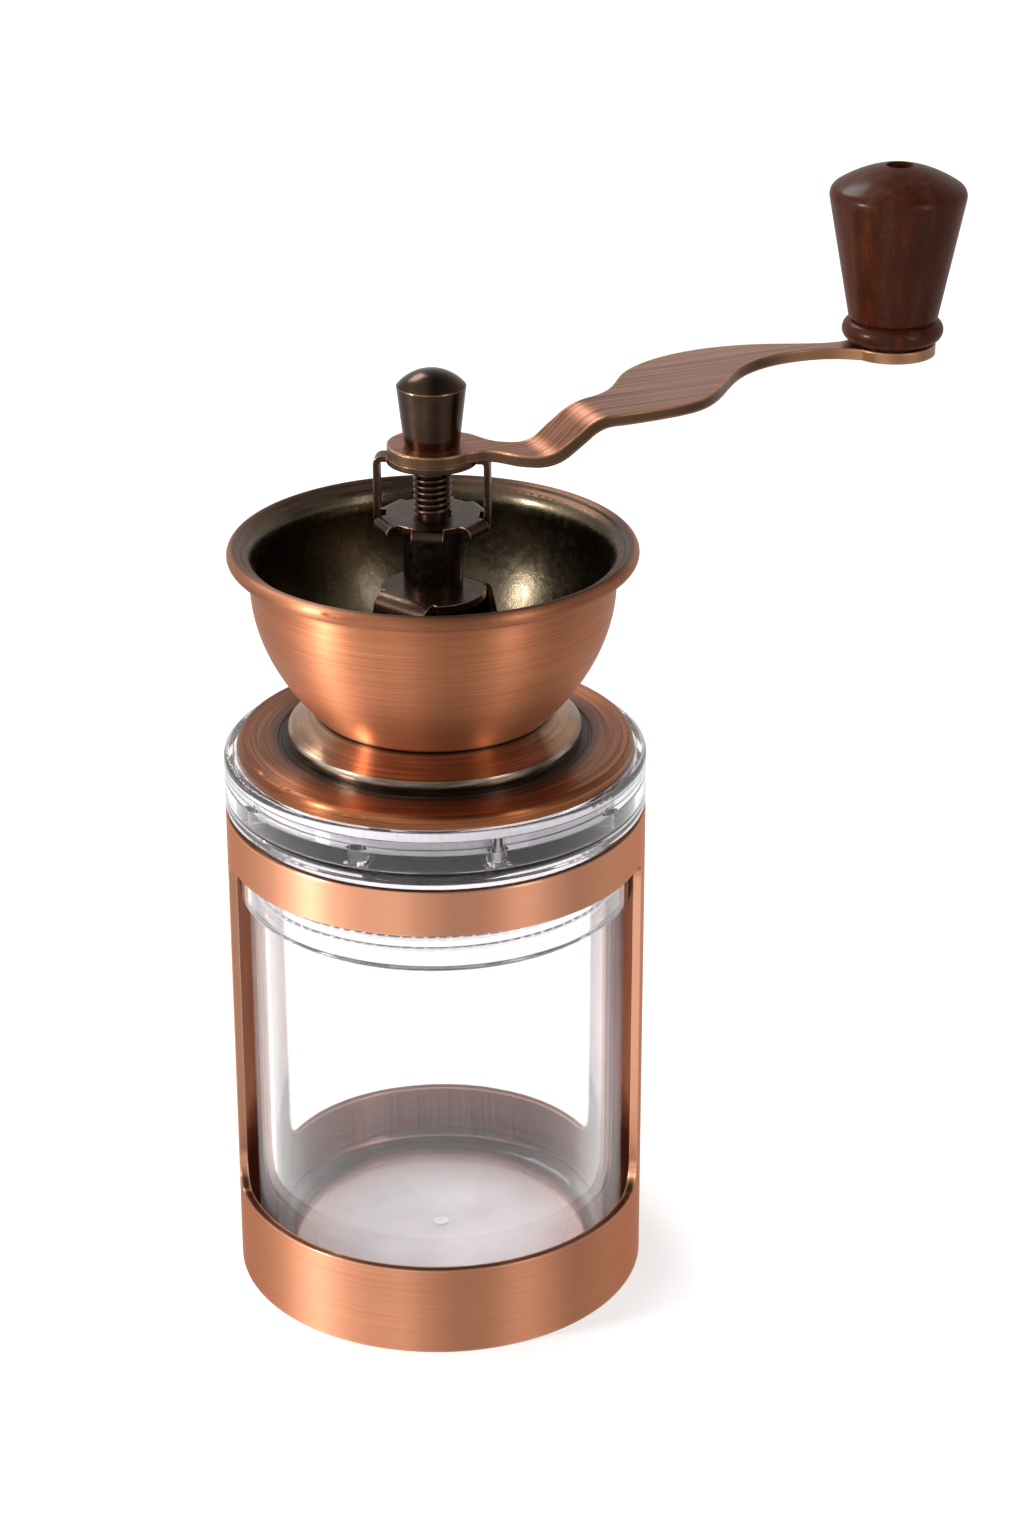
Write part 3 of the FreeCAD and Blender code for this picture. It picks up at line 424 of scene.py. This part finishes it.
def sleeve_edges(g):
    """Bare copper on the upright cut edges, painted shade on the level sills and the top edge, and dark
    copper inside.
    """
    # Painted shade on the faces that look upwards
    level = g.span(g.split(g.normal())[2], 0.3, 0.8)
    bare = g.mix(level, SLEEVE_JAMB, SLEEVE_SILL_SHADE)
    lining = g.ramp(g.brushing(60.0, 40.0, 3.0), (0.3, LINING_DARK), (0.7, LINING_LIGHT))
    inner = g.span(g.outward(), -0.4, -0.8)
    return g.mix(inner, bare, lining)


def sleeve_copper():
    """Brushed copper outside, paler towards the top, with worn edges."""
    g = Surface("sleeve_copper")
    streaks = g.brushing(1.2, 7000.0, 2.0)
    cloud = g.noise(g.place(), 28.0, 2.0)
    tone = g.ramp(streaks, (0.3, SLEEVE_DEEP), (0.7, SLEEVE_BRIGHT))
    tone = g.mix(g.span(cloud, 0.35, 0.7, end=0.35), tone, SLEEVE_CLOUD)
    tone = g.mix(g.span(g.height(), *SLEEVE_PALING, end=0.75), tone, SLEEVE_PALE)
    cut = g.span(g.outward(), 0.8, 0.4)
    tone = g.mix(cut, tone, sleeve_edges(g))
    tone = g.mix(g.times(g.worn_edges(0.8 * MM), 0.9), tone, SLEEVE_WORN)
    rough = g.span(streaks, 0.2, 0.8, 0.26, 0.34)
    g.set(Base_Color=tone, Metallic=1.0, Roughness=rough, Specular_Tint=SLEEVE_GLANCE, **SPUN)
    g.bump(streaks, 0.08, FINE, 0.3 * MM)
    return g.material


def plate_copper():
    """Dark antiqued copper, with painted shade that makes it nearly black next to the foot."""
    g = Surface("plate_copper")
    fine = g.brushing(1.2, 5200.0, 2.0)
    broad = g.brushing(1.0, 800.0, 3.0)
    tone = g.ramp(fine, (0.3, PLATE_DEEP), (0.5, PLATE_MIDDLE), (0.7, PLATE_BRIGHT))
    tone = g.mix(g.span(broad, 0.4, 0.62, end=0.6), tone, PLATE_STREAK)
    # Painted shade next to the foot
    shade = g.span(g.radius(), *FOOT_SHADE, start=0.95, end=0.0)
    tone = g.mix(shade, tone, PLATE_SHADE)
    g.set(Base_Color=tone, Metallic=1.0, Roughness=g.span(fine, 0.2, 0.8, 0.26, 0.36), **SPUN)
    g.bump(fine, 0.08, FINE)
    return g.material


def foot_copper():
    """Copper worn to a brassy shine, its lip worn pale with painted glints and dark reflections, and
    painted shade in the seam under the bowl.
    """
    g = Surface("foot_copper")
    fine = g.brushing(1.2, 6500.0, 2.0)
    broad = g.brushing(1.2, 500.0, 3.0)
    tone = g.ramp(fine, (0.3, FOOT_DEEP), (0.7, FOOT_BRIGHT))
    tone = g.mix(g.span(broad, 0.45, 0.65, end=0.7), tone, FOOT_STREAK)
    # Painted glints and dark reflections round the lip, over its pale worn brass
    lip_wear_and_glints = g.ramp(g.brushing(2.4, 900.0, 2.0), (0.4, LIP_DARK_REFLECTION), (0.62, LIP_WEAR_AND_GLINT))
    tone = g.mix(g.span(g.height(), *FOOT_LIP), tone, lip_wear_and_glints)
    # Painted shade in the seat gap under the bowl
    tone = g.mix(g.span(g.height(), *FOOT_SEAM), tone, SEAM_SHADE)
    g.set(Base_Color=tone, Metallic=1.0, Roughness=g.span(fine, 0.2, 0.8, 0.18, 0.26), **WORN_SPUN)
    g.bump(fine, 0.06, FINE)
    return g.material


def bowl_copper():
    """Antiqued copper with brown left in the brushing, painted shade low down and in the seam over the
    foot, and brown on top of the rim.
    """
    g = Surface("bowl_copper")
    fine = g.brushing(1.2, 6500.0, 2.0)
    broad = g.brushing(1.0, 2600.0, 3.0)
    tone = g.ramp(fine, (0.3, BOWL_DEEP), (0.5, BOWL_MIDDLE), (0.7, BOWL_BRIGHT))
    tone = g.mix(g.span(broad, 0.4, 0.64, end=0.4), tone, BOWL_STREAK)
    # Painted shade low down on the bowl, above the foot and plate
    tone = g.mix(g.span(g.height(), *BOWL_LOW, end=0.45), tone, BOWL_SHADED)
    # Painted shade in the seat gap over the foot
    tone = g.mix(g.span(g.height(), *BOWL_SEAM), tone, SEAM_SHADE)
    tone = g.mix(g.span(g.height(), *RIM_UPPER, end=0.55), tone, RIM_COPPER)
    rim_top = g.times(g.span(g.outward(), 0.6, 0.2, end=0.85), g.span(g.height(), *RIM_TOP))
    tone = g.mix(rim_top, tone, RIM_BROWN)
    g.set(Base_Color=tone, Metallic=1.0, Roughness=g.span(fine, 0.2, 0.8, 0.38, 0.46), **SPUN)
    g.bump(fine, 0.06, FINE)
    return g.material


def bowl_inside():
    """Dark speckled bronze."""
    g = Surface("bowl_inside")
    speckle = g.noise(g.place(), 2600.0, 2.0)
    hide = g.noise(g.place(), 520.0, 3.0)
    cloud = g.noise(g.place(), 60.0, 3.0)
    tone = g.ramp(cloud, (0.3, INSIDE_DARK), (0.7, INSIDE_LIGHT))
    tone = g.mix(g.span(speckle, 0.66, 0.74, end=0.6), tone, INSIDE_SPECKLE)
    g.set(Base_Color=tone, Metallic=1.0, Roughness=g.span(hide, 0.3, 0.7, 0.2, 0.3))
    g.bump(g.math("ADD", hide, g.times(speckle, 0.4)), 0.14, 0.3 * MM)
    return g.material


def bronze(name, base, bright, reach, dull=0.4):
    """Dark cast metal, worn bright along its edges."""
    g = Surface(name)
    grain = g.noise(g.place(), 900.0, 4.0)
    cloud = g.noise(g.place(), 140.0, 3.0)
    worn = g.times(g.worn_edges(reach), g.span(cloud, 0.3, 0.6, start=0.4))
    tone = g.mix(g.span(cloud, 0.3, 0.7), base, tuple(0.5 * c for c in base))
    rough = g.span(grain, 0.3, 0.7, 0.6 * dull, dull)
    g.set(Base_Color=g.mix(worn, tone, bright), Metallic=1.0, Roughness=rough)
    g.bump(grain, 0.12, FINE, reach)
    return g.material


def crank_copper():
    """Copper brushed along the arm, redder near the spindle, with dark sides and worn edges."""
    g = Surface("crank_copper")
    streaks = g.noise(g.straight(CRANK_TURN, 22.0, 1500.0), 1.0, 4.0)
    cloud = g.noise(g.place(), 45.0, 2.0)
    tone = g.ramp(streaks, (0.3, CRANK_DEEP), (0.5, CRANK_MIDDLE), (0.7, CRANK_BRIGHT))
    tone = g.mix(g.span(cloud, 0.4, 0.7, end=0.4), tone, CRANK_CLOUD)
    near = g.span(g.radius(), *CRANK_NEAR, end=0.75)
    tone = g.mix(near, tone, g.ramp(streaks, (0.35, CRANK_NEAR_DARK), (0.65, CRANK_NEAR_LIGHT)))
    nx, ny, nz = g.split(g.normal())
    side = g.span(g.math("ABSOLUTE", nz), 0.75, 0.35)
    x, y, z = g.split(g.place())
    tone = g.mix(side, tone, g.mix(g.span(x, *CRANK_EYE), CRANK_SIDE, CRANK_EYE_SIDE))
    worn = g.times(g.worn_edges(0.9 * MM), g.span(cloud, 0.3, 0.6, start=0.5))
    rough = g.span(streaks, 0.2, 0.8, 0.26, 0.4)
    g.set(Base_Color=g.mix(worn, tone, CRANK_WORN), Metallic=1.0, Roughness=rough)
    g.bump(streaks, 0.1, FINE, 0.6 * MM)
    return g.material


def acrylic(name, milkiness):
    """Starts a clear material, and gives its scratches and how milky they make it."""
    g = Surface(name)
    scratch = g.span(g.brushing(6.0, 900.0, 4.0), 0.70, 0.76)
    haze = g.span(scratch, 0.0, 1.0, milkiness, milkiness + SCRATCH_HAZE)
    g.set(IOR=ACRYLIC_IOR)
    g.bump(g.noise(g.place(), 60.0, 2.0), 0.02, 0.5 * MM, 0.5 * MM)
    return g, scratch, haze


def clear_acrylic(name, milkiness):
    """Clear acrylic with a few scratches."""
    g, scratch, haze = acrylic(name, milkiness)
    g.set(Base_Color=g.mix(scratch, ACRYLIC_CLEAR, ACRYLIC_SCRATCHED))
    g.set(Roughness=g.times(scratch, SCRATCH_ROUGHNESS))
    g.set(Transmission_Weight=g.math("SUBTRACT", 1.0, haze))
    return g.material


def jar_acrylic():
    """Clear acrylic with a painted sheen of milky haze on its left and right sides, and a frosted floor
    that has a mould gate in its middle.
    """
    g, scratch, haze = acrylic("jar_acrylic", JAR_MILKINESS)
    floor_mask = g.times(g.span(g.height(), *JAR_FLOOR), g.span(g.radius(), *JAR_FLOOR_EDGE))
    frost = g.times(floor_mask, g.span(g.radius(), *JAR_FROST_EDGE))
    cloud = g.noise(g.place(), 70.0, 4.0)
    milk = g.ramp(cloud, (0.3, MILK_DARK), (0.7, MILK_LIGHT))
    # Painted reflection: the warm tint of the copper ledge seen through the floor's edge
    milk = g.mix(g.span(g.radius(), *JAR_FLOOR_COPPER_TINT), milk, MILK_COPPER_TINT)
    milk = g.mix(g.span(g.radius(), *JAR_FLOOR_GATE, end=0.4), milk, MILK_GATE)
    # Painted sheen: milky haze on the sides that face left and right
    x, y, z = g.split(g.place())
    side = g.math("DIVIDE", g.math("ABSOLUTE", x), g.most(g.radius(), TINY))
    haze = g.most(haze, g.span(side, *SIDE_SHEEN_FROM, end=SIDE_SHEEN_HAZE))
    haze = g.most(haze, g.times(frost, g.span(cloud, 0.3, 0.7, 0.28, 0.42)))
    g.set(Base_Color=g.mix(floor_mask, ACRYLIC_CLEAR, milk))
    g.set(Roughness=g.most(g.times(scratch, SCRATCH_ROUGHNESS), g.times(frost, FROST_ROUGHNESS)))
    g.set(Transmission_Weight=g.math("SUBTRACT", 1.0, haze))
    return g.material


def dark_casting():
    """A dark casting, with a pale band of painted light round its upper flange where it shows through
    the clear collar.
    """
    g = Surface("dark_casting")
    grain = g.noise(g.place(), 1400.0, 3.0)
    # Painted light: the flange made pale where light comes through the clear shelf
    lit_flange = g.times(g.span(g.height(), *FLANGE_LIT_HEIGHT), g.span(g.radius(), *FLANGE_LIT_RADIUS))
    dark = g.ramp(grain, (0.3, CASTING_DARK), (0.7, CASTING_LIGHT))
    lit_tone = g.ramp(grain, (0.3, FLANGE_LIT_DIM), (0.7, FLANGE_LIT_BRIGHT))
    rough = g.span(grain, 0.3, 0.7, 0.35, 0.5)
    g.set(Base_Color=g.mix(lit_flange, dark, lit_tone), Roughness=rough, Specular_IOR_Level=0.2)
    g.bump(grain, 0.2, FINE)
    return g.material


def steel(name, tone):
    """Turned steel."""
    g = Surface(name)
    streaks = g.brushing(4.0, 3000.0, 3.0)
    mottled = g.mix(streaks, tone, tuple(0.6 * c for c in tone))
    g.set(Base_Color=mottled, Metallic=1.0, Roughness=g.span(streaks, 0.3, 0.7, 0.25, 0.4))
    g.bump(streaks, 0.08, FINE)
    return g.material


def knob_wood():
    """Dark varnished wood with upright grain."""
    g = Surface("knob_wood")
    grain = g.noise(g.stretched(g.place(), 420.0, 420.0, 60.0), 1.0, 6.0, 0.65)
    blotch = g.noise(g.place(), 160.0, 3.0)
    pores = g.noise(g.stretched(g.place(), 1800.0, 1800.0, 420.0), 1.0, 2.0)
    tone = g.ramp(grain, (0.25, WOOD_DARK), (0.55, WOOD_MIDDLE), (0.8, WOOD_LIGHT))
    tone = g.mix(g.span(blotch, 0.35, 0.7, end=0.6), tone, WOOD_BLOTCH)
    tone = g.mix(g.span(pores, 0.69, 0.75, end=0.6), tone, WOOD_PORE)
    g.set(Base_Color=tone, Roughness=g.span(grain, 0.3, 0.7, 0.34, 0.46))
    g.set(Specular_IOR_Level=0.05, Coat_Weight=0.22, Coat_Roughness=0.2)
    g.bump(pores, 0.1, FINE)
    return g.material


def paint(materials):
    """Gives each named node its material."""
    for name, material in materials.items():
        node = frame["nodes"][name]
        node.data.materials.clear()
        node.data.materials.append(material)


def paint_two_faced(name, outside, inside):
    """Gives the second material to the floor and to the faces that look towards the mill's axis."""
    node = frame["nodes"][name]
    paint({name: outside})
    node.data.materials.append(inside)
    low, high = (corner.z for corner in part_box(name))
    for face in node.data.polygons:
        along = face.normal.xy.dot(face.center.xy.normalized())
        floor_face = face.normal.z > BOWL_FLOOR_SLOPE and face.center.z < low + BOWL_FLOOR_DEPTH
        limit = RIM_TURN if face.center.z > high - RIM_DEPTH else BOWL_TURN
        face.material_index = int(along < limit or floor_face)


def swept_ring(name, rings):
    """A mesh through a row of closed outlines of equal length, with its two ends closed."""
    made = bmesh.new()
    loops = [[made.verts.new(point) for point in ring] for ring in rings]
    count = len(loops[0])
    for low, high in zip(loops, loops[1:]):
        for i in range(count):
            j = (i + 1) % count
            made.faces.new((low[i], low[j], high[j], high[i]))
    made.faces.new(tuple(reversed(loops[0])))
    made.faces.new(tuple(loops[-1]))
    bmesh.ops.recalc_face_normals(made, faces=made.faces)
    mesh = bpy.data.meshes.new(name)
    made.to_mesh(mesh)
    made.free()
    for face in mesh.polygons:
        face.use_smooth = True
    mesh.set_sharp_from_angle(angle=math.radians(SHARP_ANGLE))
    piece = bpy.data.objects.new(name, mesh)
    bpy.context.scene.collection.objects.link(piece)
    return piece


def jar_thread(material):
    """The moulded thread round the jar's neck."""
    rings = []
    steps = THREAD_TURNS * THREAD_STEPS
    for i in range(steps + 1):
        turn = 2.0 * math.pi * i / THREAD_STEPS
        height = THREAD_LOW + THREAD_PITCH * i / THREAD_STEPS
        fade = min(1.0, i / THREAD_RUN_IN, (steps - i) / THREAD_RUN_IN)
        crest = NECK_RADIUS + THREAD_DEPTH * max(fade, THREAD_LEAST)
        lower = ((NECK_RADIUS, -THREAD_ROOT), (crest, -THREAD_CREST))
        upper = ((crest, THREAD_CREST), (NECK_RADIUS, THREAD_ROOT))
        rings.append([(r * math.cos(turn), r * math.sin(turn), height + up) for r, up in lower + upper])
    piece = swept_ring("jar_thread", rings)
    piece.data.materials.append(material)
    piece.visible_shadow = False
    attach(piece, "jar")


def cavity_seal(material):
    """The dark seal on the floor of the collar's cavity, in lengths between the posts."""
    lower = ((SEAL_INNER, SEAL_LOW), (SEAL_OUTER, SEAL_LOW))
    upper = ((SEAL_OUTER, SEAL_TOP), (SEAL_INNER, SEAL_TOP))
    sweep = math.radians(POST_STEP - 2.0 * POST_MARGIN)
    for post in range(POST_COUNT):
        start = math.radians(POST_ANGLE + POST_STEP * post + POST_MARGIN)
        rings = []
        for i in range(SEAL_STEPS + 1):
            turn = start + sweep * i / SEAL_STEPS
            rings.append([(r * math.cos(turn), r * math.sin(turn), z) for r, z in lower + upper])
        piece = swept_ring("cavity_seal_%d" % post, rings)
        piece.data.materials.append(material)
        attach(piece, "head")


def dress_nodes():
    """Materials for all the nodes, and the two kinds of piece that the solids leave out."""
    mechanism = bronze("mechanism_bronze", MECHANISM_BRONZE, BRONZE_WORN, BRONZE_EDGE)
    casting = dark_casting()
    fastener = steel("fastener_steel", FASTENER_STEEL)
    burr = steel("burr_steel", BURR_STEEL)
    paint({
        "jar_sleeve": sleeve_copper(),
        "receiver_jar": jar_acrylic(),
        "clear_collar": clear_acrylic("collar_acrylic", COLLAR_MILKINESS),
        "cover_plate": plate_copper(),
        "hopper_foot": foot_copper(),
        "burr_carrier": casting,
        "carrier_screws": fastener,
        "ring_burr": burr,
        "ring_burr_screws": fastener,
        "bridge_bracket": mechanism,
        "bridge_screws": mechanism,
        "spindle_bush": mechanism,
        "adjusting_nut": mechanism,
        "lock_spring": mechanism,
        "spring_seat": mechanism,
        "lock_clip": mechanism,
        "spindle": mechanism,
        "cone_burr": burr,
        "burr_washer": fastener,
        "burr_nut": fastener,
        "crank_arm": crank_copper(),
        "crown_nut": bronze("nut_bronze", NUT_BRONZE, BRONZE_WORN, BRONZE_EDGE, NUT_DULLNESS),
        "knob_pin": bronze("pin_brass", PIN_BRASS, PIN_WORN, PIN_EDGE),
        "knob_washer": fastener,
        "crank_knob": knob_wood(),
    })
    paint_two_faced("hopper_bowl", bowl_copper(), bowl_inside())
    jar_thread(clear_acrylic("thread_acrylic", THREAD_MILKINESS))
    cavity_seal(casting)
    for name in ("receiver_jar", "clear_collar"):
        frame["nodes"][name].visible_shadow = False


def camera():
    """The camera that took the photograph, as it was fitted to the mill's round edges."""
    data = bpy.data.cameras.new("camera")
    data.sensor_fit = "VERTICAL"
    data.sensor_height = SENSOR
    data.lens = FOCAL_PIXELS * SENSOR / IMAGE_HEIGHT
    data.clip_start = NEAREST
    placed = bpy.data.objects.new("camera", data)
    bpy.context.scene.collection.objects.link(placed)
    pitch, yaw, roll = (math.radians(a) for a in (CAMERA_PITCH, CAMERA_YAW, CAMERA_ROLL))
    level = Vector((math.sin(yaw), math.cos(yaw), 0.0))
    forward = level * math.cos(pitch) - Vector((0.0, 0.0, math.sin(pitch)))
    right = Vector((math.cos(yaw), -math.sin(yaw), 0.0))
    up = right.cross(forward)
    right_rolled = right * math.cos(roll) + up * math.sin(roll)
    up_rolled = up * math.cos(roll) - right * math.sin(roll)
    turn = Matrix((right_rolled, up_rolled, -forward)).transposed()
    placed.matrix_world = Matrix.Translation(CAMERA_PLACE) @ turn.to_4x4()
    bpy.context.scene.camera = placed


def room_light(g, x, y):
    """The room's brightness by direction, round from the back past the left and the front."""
    turn = g.math("ARCTAN2", x, g.times(y, -1.0))
    share = g.math("ADD", g.math("DIVIDE", turn, 2.0 * math.pi), 0.5)
    stops = [(angle / 360.0 + 0.5, (level, level, level)) for angle, level in ROOM]
    return g.times(g.ramp(share, *stops, blend="EASE"), ROOM_LEVEL)


def world():
    """White to the camera and through the glass. Metal sees a room that is brightest at the left."""
    made = bpy.data.worlds.new("studio")
    made.use_nodes = True
    g = Graph(made.node_tree)
    x, y, z = g.split(g.node("TexCoord").outputs["Generated"])
    path = g.node("LightPath").outputs
    ceiling = g.span(x, *CEILING_TURN, start=CEILING, end=CEILING_LEFT)
    room = g.choose(g.span(z, *CEILING_RISE), room_light(g, x, y), ceiling)
    behind_glass = g.math("GREATER_THAN", path["Transmission Depth"], 0.5)
    room = g.choose(behind_glass, room, BEHIND_GLASS)
    in_glass = g.span(y, *GLASS_TURN, start=GLASS_FRONT)
    reflected = g.choose(path["Is Singular Ray"], room, in_glass)
    glossy = g.choose(path["Is Reflection Ray"], 1.0, reflected)
    strength = g.choose(path["Is Diffuse Ray"], 1.0, DIFFUSE_LIGHT)
    strength = g.choose(path["Is Glossy Ray"], strength, glossy)
    background = made.node_tree.nodes["Background"]
    g.feed(background.inputs["Strength"], strength)
    g.feed(background.inputs["Color"], WHITE)
    bpy.context.scene.world = made


def floor_material():
    """A pale floor that glows up to white, and less close to the mill's foot, where it holds a painted
    shadow.
    """
    g = Surface("floor")
    g.set(Base_Color=(FLOOR_TONE, FLOOR_TONE, FLOOR_TONE, 1.0), Roughness=FLOOR_ROUGHNESS)
    g.set(Specular_IOR_Level=0.0, Emission_Color=WHITE)
    path = g.node("LightPath").outputs
    distance = g.node("VectorMath", operation="DISTANCE")
    g.feed(distance.inputs[0], g.place())
    g.feed(distance.inputs[1], CONTACT_PLACE)
    reach = distance.outputs["Value"]
    spread = g.span(reach, *FLOOR_GLOW_REACH, start=FLOOR_GLOW_NEAR, end=FLOOR_GLOW_FAR)
    # Painted shadow: less glow close to the foot
    contact = g.span(reach, *CONTACT_REACH, start=CONTACT_GLOW, blend="SMOOTHSTEP")
    glow = g.choose(path["Is Diffuse Ray"], g.times(spread, contact), 0.0)
    glow = g.choose(path["Is Transmission Ray"], glow, FLOOR_GLOW_IN_GLASS)
    g.set(Emission_Strength=glow)
    return g.material


def floor():
    bpy.ops.mesh.primitive_plane_add(size=FLOOR_SIZE)
    plane = bpy.context.object
    plane.name = "floor"
    plane.data.materials.append(floor_material())
    plane.visible_glossy = False


def softbox(name, place, aim, size, power):
    data = bpy.data.lights.new(name, "AREA")
    data.shape = "RECTANGLE"
    data.size, data.size_y = size
    data.energy = power
    lamp = bpy.data.objects.new(name, data)
    bpy.context.scene.collection.objects.link(lamp)
    lamp.location = place
    direction = Vector(aim) - Vector(place)
    lamp.rotation_euler = direction.to_track_quat("-Z", "Y").to_euler()


def studio():
    world()
    floor()
    for lamp in SOFTBOXES:
        softbox(*lamp)


dress_nodes()
camera()
studio()
bpy.context.scene.view_settings.view_transform = "Standard"
